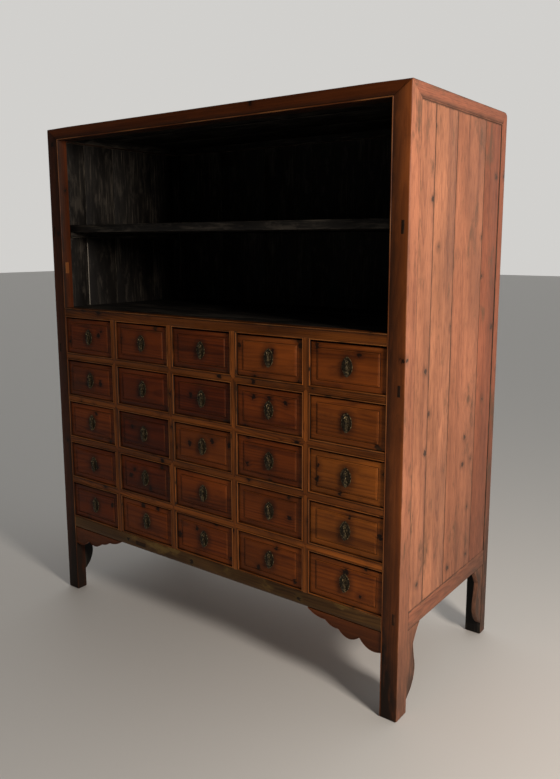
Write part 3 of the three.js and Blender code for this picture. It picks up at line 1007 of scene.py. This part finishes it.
def back_panel():
    edges = np.linspace(-INNER + GAP, INNER - GAP, len(BACK_TONES) + 1)

    def skin(centres):
        return (centres[:, 1] < BACK_INNER + BACK_THICKNESS * 0.6) & (centres[:, 2] > GRID_TOP - 0.02)

    work = Work()
    for k, (a, b) in enumerate(zip(edges, edges[1:])):
        low = (a + GAP, BACK_INNER, RAIL_TOP + GAP)
        high = (b - GAP, BACK_INNER + BACK_THICKNESS, TOP - TOP_RAIL - GAP)
        board(work, low, high, 2, 101 + k, radius=0.002, tone=BACK_TONES[k], skin=skin)
    work.build("back_boards", "back_panel", "raw_wood", RAW_WOOD, BLACK)
    work = Work()
    low = (edges[0], BACK_INNER, LEG)
    high = (edges[-1], BACK - BACK_RAIL_RECESS, RAIL_TOP)
    board(work, low, high, 0, 111, radius=0.002, tone=0.4)
    work.build("back_rail", "back_panel", "raw_wood", RAW_WOOD)


# ---- Drawer grid


def opening(row, column):
    """(x0, x1, z0, z1) of a drawer's opening."""
    low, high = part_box(f"drawer_r{row}c{column}")
    floor = low.z - BOTTOM_PLAY
    return low.x - SIDE_PLAY, high.x + SIDE_PLAY, floor, floor + OPENING_HEIGHT


ROW_TONES = (0.8, 0.65, 0.95, 0.9)  # of the rails under the rows


def opening_beads(work, row, column):
    """The mitred bead round one opening. The posts hold their own."""
    x0, x1, z0, z1 = opening(row, column)
    section, dirt = moulded(BEAD_WIDTH, LATTICE_DEPTH, "bead", "round", 0.0002)
    keep = [*range(BEAD_POINTS), *range(-REAR_POINTS, 0)]
    section, dirt = section[keep], dirt[keep]
    v = section[:, 0]
    start = x0 - v if column > 1 else x0 + GAP
    stop = x1 + v if column < COLUMNS else x1 - GAP
    beads = [
        (start, stop, (X, -Z, Y), (0, FRONT, z0), 0),
        (start, stop, (X, Z, Y), (0, FRONT, z1), 50),
    ]
    if column > 1:
        beads.append((z0 - v, z1 + v, (Z, -X, Y), (x0, FRONT, 0), 100))
    if column < COLUMNS:
        beads.append((z0 - v, z1 + v, (Z, X, Y), (x1, FRONT, 0), 150))
    seed = 400 + row * 10 + column
    # Darker column by column to the left: painted shade where the light falls off.
    tone = 0.65 - 0.1 * (COLUMNS - column)
    for start, stop, axes, origin, extra in beads:
        stick(work, section, start, stop, axes, origin, seed + extra, dirt=dirt, tone=tone)


# How dark the points of core_section are: soiling and painted shade along the beads.
CORE_SOIL_AND_SHADE = (1.0, 0.65, 0.35, 0.0, 0.0, 0.0, 0.35, 0.65, 1.0, 0.0, 0.0, 0.0)


def core_section(half):
    """The flat middle of a rail or stile, barely hollow, round its own centre line."""
    edge = 0.0004
    face = [(half, edge), (half - edge, 0.0), (half - 0.0018, 0.0002), (half * 0.5, 0.0005)]
    face = [(-v, w) for v, w in face] + [(0.0, 0.0006)] + face[::-1]
    return np.array(face + [(half, LATTICE_DEPTH), (0.0, LATTICE_DEPTH), (-half, LATTICE_DEPTH)])


def row_rail(work, row):
    """The rail under a row: one length between each pair of crossings, mitred to the stiles."""
    above, below = opening(row, 1), opening(row + 1, 1)
    centre = (above[2] + below[3]) / 2
    section = core_section((above[2] - below[3]) / 2 - BEAD_WIDTH)
    lean = np.abs(section[:, 0]) + GAP / 2
    half = (opening(row, 2)[0] - opening(row, 1)[1]) / 2
    for column in range(1, COLUMNS + 1):
        x0, x1, _, _ = opening(row, column)
        start = x0 + GAP if column == 1 else x0 - half + lean
        stop = x1 - GAP if column == COLUMNS else x1 + half - lean
        # Darker column by column to the left: painted shade where the light falls off.
        tone = ROW_TONES[row - 1] - 0.12 * (COLUMNS - column)
        look = {"span": (-INNER, INNER), "tone": tone, "dirt": CORE_SOIL_AND_SHADE}
        stick(work, section, start, stop, (X, Z, Y), (0, FRONT, centre), 500 + row, **look)


def stile(work, row, column):
    """The stile to the right of a drawer, mitred to the rails above and below it."""
    _, x1, z0, z1 = opening(row, column)
    x2 = opening(row, column + 1)[0]
    section = core_section((x2 - x1) / 2 - BEAD_WIDTH)
    lean = np.abs(section[:, 0]) + GAP / 2
    gap = opening(1, 1)[2] - opening(2, 1)[3]
    start = z0 - BEAD_WIDTH if row == ROWS else z0 - gap / 2 + lean
    stop = z1 + BEAD_WIDTH if row == 1 else z1 + gap / 2 - lean
    seed = 530 + row * 5 + column
    span = (opening(ROWS, 1)[2], opening(1, 1)[3])
    # Darker column by column to the left: painted shade where the light falls off.
    look = {"span": span, "tone": 0.3 + 0.1 * column, "dirt": CORE_SOIL_AND_SHADE}
    stick(work, section, start, stop, (Z, X, Y), ((x1 + x2) / 2, FRONT, 0), seed, **look)


def lattice():
    work = Work()
    for row in range(1, ROWS + 1):
        for column in range(1, COLUMNS + 1):
            opening_beads(work, row, column)
            if column < COLUMNS:
                stile(work, row, column)
        if row < ROWS:
            row_rail(work, row)
    work.build("drawer_lattice", "drawer_grid", "lacquered_wood", LATTICE_WOOD)


def divider_rail():
    low = opening(1, 1)[3] + BEAD_WIDTH
    section, dirt = moulded(GRID_TOP - low, LATTICE_DEPTH, "round", "bead", 0.0004, hollow=0.0006)
    work = Work()
    half = INNER - GAP
    stick(work, section, -half, half, (X, Z, Y), (0, FRONT, low), 601, dirt=dirt, tone=-0.25)
    work.build("divider_rail", "drawer_grid", "lacquered_wood", LATTICE_WOOD)


# The dark piece let into the bottom rail, from the cabinet's middle and the rail's lower edge.
PATCH_X, PATCH_Z = (-0.343, -0.291), (0.015, 0.030)


def bottom_rail():
    high = opening(ROWS, 1)[2] - BEAD_WIDTH - LEG
    face = [(0.0, 0.012), (0.0008, 0.0075), (0.0035, 0.0035), (0.008, 0.0012), (0.014, 0.0002), (0.026, 0.0)]
    face += [(high - 0.006, 0.0003), (high - 0.001, 0.0006), (high, 0.0012)]
    face += [(high, LATTICE_DEPTH), (CHAMFER, LATTICE_DEPTH), (0.0, LATTICE_DEPTH - CHAMFER)]
    work = Work()
    half = INNER - GAP
    stick(work, face, -half, half, (X, Z, Y), (0, FRONT, LEG), 611, tone=0.5, wobble=0.0006)
    low = (PATCH_X[0], FRONT - 0.0006, LEG + PATCH_Z[0])
    high = (PATCH_X[1], FRONT + 0.006, LEG + PATCH_Z[1])
    board(work, low, high, 0, 617, radius=0.0003, dirt=0.85, wobble=0.0)
    work.build("bottom_rail", "drawer_grid", "lacquered_wood", RAIL_WOOD)


def inner_boards(work, z, front, seed, **look):
    """Boards across the cabinet, cut round the four posts."""
    near, far, rear = FRONT + REBATE + GAP, SIDE_TO - GAP, BACK_INNER - GAP
    edges = [max(front, near), *np.linspace(near, far, 4)[1:]]
    strips = [(a, b, SIDE_INNER - GAP) for a, b in zip(edges, edges[1:])]
    strips.append((far, rear, INNER - GAP))
    if front < near:
        strips.append((front, near, INNER - GAP))
    for k, (a, b, half) in enumerate(strips):
        board(work, (-half, a + GAP / 2, z[0]), (half, b - GAP / 2, z[1]), 0, seed + k, **look)


def compartment_floor():
    work = Work()
    top = GRID_TOP - FLOOR_DROP
    inner_boards(work, (top - FLOOR_THICKNESS, top), BEHIND_LATTICE, 621, tone=0.9)
    work.build("compartment_floor", "drawer_grid", "black_lacquer", BLACK)


def drawer_boards():
    """The boards that the drawers slide on, with their guides."""
    work = Work()
    for row in range(1, ROWS + 1):
        floor = opening(row, 1)[2]
        z = (floor - BOARD_THICKNESS, floor)
        inner_boards(work, z, BEHIND_LATTICE, 630 + 5 * row, tone=0.4)
        for column in range(0, COLUMNS + 1):
            x0 = opening(row, column)[1] if column else -INNER - GUIDE
            x1 = opening(row, column + 1)[0] if column < COLUMNS else INNER + GUIDE
            near = FRONT + (LATTICE_DEPTH if 0 < column < COLUMNS else REBATE)
            low = (x0, near + GAP, floor)
            high = (x1, FRONT + DRAWER_LENGTH, floor + GUIDE)
            board(work, low, high, 1, 660 + 6 * row + column, tone=0.4)
    work.build("drawer_boards", "drawer_grid", "lacquered_wood", RAW_WOOD)


def partition(column):
    work = Work()
    centre = (opening(1, column)[1] + opening(1, column + 1)[0]) / 2
    edges = np.linspace(opening(ROWS, 1)[2], GRID_TOP - FLOOR_DROP - FLOOR_THICKNESS, 5)
    for k, (a, b) in enumerate(zip(edges, edges[1:])):
        low = (centre - PARTITION / 2, BEHIND_LATTICE, a + GAP)
        high = (centre + PARTITION / 2, BACK_INNER - GAP, b - GAP)
        board(work, low, high, 1, 700 + 4 * column + k, tone=0.45)
    work.build(f"partition_{column}", "drawer_grid", "lacquered_wood", RAW_WOOD)


def drawer_grid():
    lattice()
    divider_rail()
    bottom_rail()
    compartment_floor()
    drawer_boards()
    for side in (-1, 1):
        apron(side)
    for column in range(1, COLUMNS):
        partition(column)


def shelf():
    work = Work()
    inner_boards(work, (SHELF_LOW.z, SHELF_HIGH.z), SHELF_LOW.y, 721, radius=0.003, tone=0.5)
    work.build("shelf_boards", "shelf", "black_lacquer", BLACK)


# ---- Drawers

# How each raised front rises from its edge: (distance in from the edge, depth, mark). The mark is
# painted shade on the edge faces that sit in the gap, soiling and painted shade in the border's
# groove, and wear that is partly a painted highlight on the rise to the field.
FRONT_RISE = (
    (0.0004, DRAWER_FRONT, 1.0),
    (0.0000, DRAWER_FRONT - 0.0004, 1.0),
    (0.0000, 0.0046, 0.9),
    (0.0006, 0.0030, 0.1),
    (0.0018, 0.0026, -0.1),
    (0.0165, 0.0025, 0.0),
    (0.0173, 0.0033, 0.95),
    (0.0181, 0.0030, 0.8),
    (0.0188, 0.0016, 0.0),
    (0.0197, 0.0010, -0.35),
    (0.0208, 0.0011, 0.25),
    (0.0214, 0.0014, 0.35),
    (0.0222, 0.0004, 0.0),
    (0.0300, 0.0000, 0.0),
)
SIDE_BORDER = 1.2  # the border is this much wider at the sides
FIELD_INSET = 0.016  # the border's groove and the raised middle begin here
# How light each front is, row by row from the top. The fronts differ in tone one from another,
# and the left columns are set darker as painted shade where the light falls off to the left.
FRONT_TONES_AND_SHADE = (
    (0.12, 0.18, 0.12, 0.46, 0.45),
    (0.18, 0.04, -0.02, 0.26, 0.56),
    (0.24, -0.06, 0.42, 0.28, 0.75),
    (0.14, 0.02, 0.30, 0.36, 0.74),
    (0.06, 0.30, 0.30, 0.44, 0.50),
)


def drawer_front(name, row, column, width, height, origin):
    """A front whose top sags a little, and whose corners are a little out of square."""
    rng = np.random.default_rng(row * 10 + column)
    sag = rng.uniform(0.0008, 0.0032, 2)
    skew = rng.uniform(-0.0004, 0.0004, 4)
    places, dirt = [], []
    for inset, depth, mark in FRONT_RISE:
        inner = inset > FIELD_INSET
        lean = sag * 0.4 if inner else sag
        u = width / 2 - 0.0005 - (inset * SIDE_BORDER if inner else inset)
        places += [
            (-u, inset + skew[0], depth),
            (u, inset + skew[1], depth),
            (u, height - inset - lean[1], depth),
            (-u, height - inset - lean[0], depth),
        ]
        dirt += [mark] * 4
    faces = tube(len(FRONT_RISE), 4)
    places = np.array(places)
    points = places @ np.array((X, Z, Y)) + np.asarray(origin)
    middle = np.array((0.0, height / 2, DRAWER_FRONT / 2))
    half = (width / 2, height / 2, DRAWER_FRONT / 2)
    work = Work()
    tone = FRONT_TONES_AND_SHADE[row - 1][column - 1]
    work.add(points, faces, places - middle, half, rng.uniform(0.0, 9.0), tone=tone, dirt=np.array(dirt))
    work.build(name + "_front", name, "drawer_wood", DRAWER_WOOD, body=name, sharp=25)


def drawer_box(name, seed, width, origin):
    """Two sides, a back and a bottom, behind the front."""
    half, wall = width / 2, DRAWER_WALL
    spans = (
        ((-half, DRAWER_FRONT, 0.0), (-half + wall, DRAWER_LENGTH, DRAWER_BOX), 1),
        ((half - wall, DRAWER_FRONT, 0.0), (half, DRAWER_LENGTH, DRAWER_BOX), 1),
        ((-half + wall, DRAWER_LENGTH - wall, 0.0), (half - wall, DRAWER_LENGTH, DRAWER_BOX - 0.004), 0),
        ((-half + wall, DRAWER_FRONT, 0.0), (half - wall, DRAWER_LENGTH - wall, DRAWER_BOTTOM), 0),
    )
    work = Work()
    for k, (low, high, grain) in enumerate(spans):
        low, high = np.array(low) + origin, np.array(high) + origin
        board(work, low + GAP / 2, high - GAP / 2, grain, seed + k, tone=0.5, wobble=0.0)
    work.build(name + "_box", name, "raw_wood", RAW_WOOD, body=name)


# ---- Pulls

PLATE_WIDTH, PLATE_HEIGHT = 0.036, 0.060
STAPLE_RADIUS, STAPLE_WIRE, STAPLE_OUT, STAPLE_ABOVE = 0.005, 0.0012, 0.0055, 0.0145
DROP_LENGTH, DROP_WIDTH, DROP_EYE = 0.043, 0.017, 0.0035


def cast_bronze(work, places, faces, centre, seed, rub):
    """Adds a shape whose places are measured from centre. rub says how bright it is rubbed."""
    places = np.array(places)
    work.add(places + centre, faces, places + seed, (1, 1, 1), seed, dirt=np.array(rub))


def ring_of(work, centre, radius, wire, normal, seed, rub):
    """A ring of round wire, open in the middle, lying across normal."""
    turns, sides = 24, 10
    second = np.cross(normal, Z)
    points, dirt, faces = [], [], []
    for i in range(turns):
        a = math.tau * i / turns
        spoke = Z * math.cos(a) + second * math.sin(a)
        for j in range(sides):
            b = math.tau * j / sides
            points.append(centre + spoke * (radius + wire * math.cos(b)) + normal * wire * math.sin(b))
            dirt.append(rub * (0.5 + 0.5 * math.cos(b)))
            k, m = (i + 1) % turns, (j + 1) % sides
            faces.append([i * sides + j, k * sides + j, k * sides + m, i * sides + m])
    cast_bronze(work, np.array(points) - centre, faces, centre, seed, dirt)


PLATE_POINTS = 48


def plate_outline():
    """The pointed oval, as (x, z) points round its middle."""
    found = []
    for i in range(PLATE_POINTS):
        a = math.tau * i / PLATE_POINTS
        z = -math.cos(a)
        full = 1 - abs(z) ** 2.2
        found.append((math.copysign(PLATE_WIDTH / 2 * full**0.8, math.sin(a)), z * PLATE_HEIGHT / 2))
    return np.array(found)


# (share of the outline, height over the wood, rubbed) from the rim to the middle.
PLATE_RISE = (
    (1.00, 0.0, 0.0),
    (1.00, 0.0008, 0.5),
    (0.96, 0.0013, 0.9),
    (0.90, 0.0012, 0.3),
    (0.84, 0.0007, 0.0),
    (0.62, 0.0008, 0.0),
    (0.40, 0.0014, 0.15),
    (0.20, 0.0019, 0.35),
)


def pull_plate(name, row, column, centre):
    """The plate, its staple and the boss that the staple comes out of."""
    outline = plate_outline()
    rng = np.random.default_rng(800 + row * 10 + column)
    dented = 1 + rng.normal(0, 0.008, len(outline))
    places, dirt = [], []
    for share, height, rub in PLATE_RISE:
        for (x, z), dent in zip(outline, dented):
            places.append((x * share * dent, -height, z * share))
            dirt.append(rub)
    seed = row + column / 7
    work = Work()
    cast_bronze(work, places, tube(len(PLATE_RISE), len(outline)), centre, seed, dirt)
    ring_centre = centre + np.array((0.0, -STAPLE_OUT, STAPLE_ABOVE))
    ring_of(work, ring_centre, STAPLE_RADIUS, STAPLE_WIRE, X, seed, 1.0)
    boss(work, centre + np.array((0.0, -0.0010, STAPLE_ABOVE)), seed)
    work.build(name + "_plate", name, "aged_brass", BRONZE, body=name)


# (radius, height) of the washer under the staple, from its rim inwards.
BOSS_RISE = ((0.0048, 0.0), (0.0045, 0.0010), (0.0034, 0.0017), (0.0018, 0.0020))
BOSS_POINTS = 20


def boss(work, centre, seed):
    """The small domed washer under the staple."""
    places = []
    for radius, height in BOSS_RISE:
        for i in range(BOSS_POINTS):
            a = math.tau * i / BOSS_POINTS
            places.append((radius * math.cos(a), -height, radius * math.sin(a)))
    cast_bronze(work, places, tube(len(BOSS_RISE), BOSS_POINTS), centre, seed, 0.5)


def drop_half_width(t):
    """Half the width of the leaf, t from 0 at the eye to 1 at the tip."""
    neck = 0.0026
    belly = DROP_WIDTH / 2 * math.sin(math.pi * min(1.0, t**1.35 * 0.97)) ** 0.8
    return max(belly, neck * (1 - t) + 0.0002)


def pull_drop(name, seed, centre):
    """A leaf with a raised midrib, hanging from its eye. centre is the middle of the staple."""
    eye = centre - np.array((0.0, 0.0, STAPLE_RADIUS))
    start = -DROP_EYE * 0.8
    length = DROP_LENGTH - DROP_EYE * 1.8 - 0.0011
    steps, sides = 22, 6
    rows, dirt = [], []
    for i in range(steps + 1):
        t = i / steps
        half = drop_half_width(t)
        z = start - length * t
        ridge = 0.0012 + 0.0014 * math.sin(math.pi * min(1.0, t * 1.05)) ** 0.7 if t < 0.95 else 0.0009
        row = []
        for j in range(-sides, sides + 1):
            s = j / sides
            row.append((half * s, -ridge * (1 - abs(s)) ** 0.75 - 0.0003, z))
            dirt.append(0.6 if j == 0 else 0.3 + 0.4 * (abs(j) == sides))
        for j in range(sides, -sides - 1, -1):
            row.append((half * j / sides, 0.0009 * (1 - (j / sides) ** 2) ** 0.5 + 0.0001, z))
            dirt.append(0.0)
        rows.append(row)
    faces = tube(len(rows), len(rows[0]))
    places = np.array(rows).reshape(-1, 3)
    work = Work()
    cast_bronze(work, places, faces, eye, seed, dirt)
    ring_of(work, eye, DROP_EYE, 0.0011, Y, seed, 0.9)
    work.build(name + "_drop", name, "aged_brass", BRONZE, body=name)


def drawers():
    for row in range(1, ROWS + 1):
        for column in range(1, COLUMNS + 1):
            name = f"drawer_r{row}c{column}"
            low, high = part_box(name)
            width, height = high.x - low.x, high.z - low.z
            origin = np.array(((low.x + high.x) / 2, FRONT + DRAWER_RECESS, low.z))
            drawer_front(name, row, column, width, height, origin)
            drawer_box(name, 900 + 5 * (row * 5 + column), width, origin)
            pull_plate(name, row, column, origin + height / 2 * Z)
            centre = origin + np.array((0.0, -STAPLE_OUT, height / 2 + STAPLE_ABOVE))
            pull_drop(f"pull_r{row}c{column}", row * 3 + column / 5, centre)


# ---- Camera, light and floor

FRONT_LIGHT, BACK_LIGHT = 0.06, 0.64
KEY_PLACE, KEY_TARGET = (2.85, -1.0, 1.85), (0.0, -0.1, 1.0)
KEY_SIZE, KEY_WATTS, KEY_COLOUR = (0.5, 0.55), 72.0, (1.0, 0.90, 0.80)


def camera():
    data = bpy.data.cameras.new("camera")
    data.lens = 34.576
    data.sensor_width = 36.0
    data.shift_x, data.shift_y = -0.01245, -0.03044
    piece = bpy.data.objects.new("camera", data)
    bpy.context.scene.collection.objects.link(piece)
    piece.location = (1.68264, FRONT - 1.7838, 1.38582)
    piece.rotation_euler = (math.radians(90 - 9.338), 0.0, math.radians(36.41))
    bpy.context.scene.camera = piece


def area_light(name, place, target, size, watts, colour):
    data = bpy.data.lights.new(name, "AREA")
    data.shape = "RECTANGLE"
    data.size, data.size_y = size
    data.energy = watts
    data.color = colour
    piece = bpy.data.objects.new(name, data)
    bpy.context.scene.collection.objects.link(piece)
    piece.location = place
    toward = np.array(target, float) - np.array(place, float)
    flat = math.hypot(toward[0], toward[1])
    piece.rotation_euler = (math.atan2(flat, -toward[2]), 0.0, math.atan2(-toward[0], toward[1]))


def studio_world():
    """Pale light all round, bright behind the cabinet and dim in front of it."""
    world = bpy.data.worlds.new("studio")
    world.use_nodes = True
    tree = world.node_tree
    background = tree.nodes["Background"]
    background.inputs["Color"].default_value = (1.0, 0.985, 0.955, 1.0)
    direction = tree.nodes.new("ShaderNodeTexCoord")
    split = tree.nodes.new("ShaderNodeSeparateXYZ")
    share = tree.nodes.new("ShaderNodeMapRange")
    share.interpolation_type = "SMOOTHSTEP"
    for socket, value in zip(list(share.inputs)[1:5], (-0.35, 0.45, FRONT_LIGHT, BACK_LIGHT)):
        socket.default_value = value
    tree.links.new(direction.outputs["Generated"], split.inputs[0])
    tree.links.new(split.outputs["Y"], share.inputs["Value"])
    tree.links.new(share.outputs[0], background.inputs["Strength"])
    bpy.context.scene.world = world


def stage():
    mesh = bpy.data.meshes.new("floor")
    reach = 30.0
    corners = [(-reach, -reach, 0), (reach, -reach, 0), (reach, reach, 0), (-reach, reach, 0)]
    mesh.from_pydata(corners, [], [(0, 1, 2, 3)])
    g = Graph("pale_floor")
    g.shader.inputs["Base Color"].default_value = (0.62, 0.61, 0.59, 1.0)
    g.shader.inputs["Roughness"].default_value = 0.6
    mesh.materials.append(g.material)
    floor = bpy.data.objects.new("floor", mesh)
    bpy.context.scene.collection.objects.link(floor)
    studio_world()
    area_light("key", KEY_PLACE, KEY_TARGET, KEY_SIZE, KEY_WATTS, KEY_COLOUR)
    bpy.context.scene.view_settings.view_transform = "Standard"


camera()
for side in (-1, 1):
    front_post(side)
    back_post(side)
    side_panel(side)
top_frame()
back_panel()
drawer_grid()
shelf()
drawers()
stage()
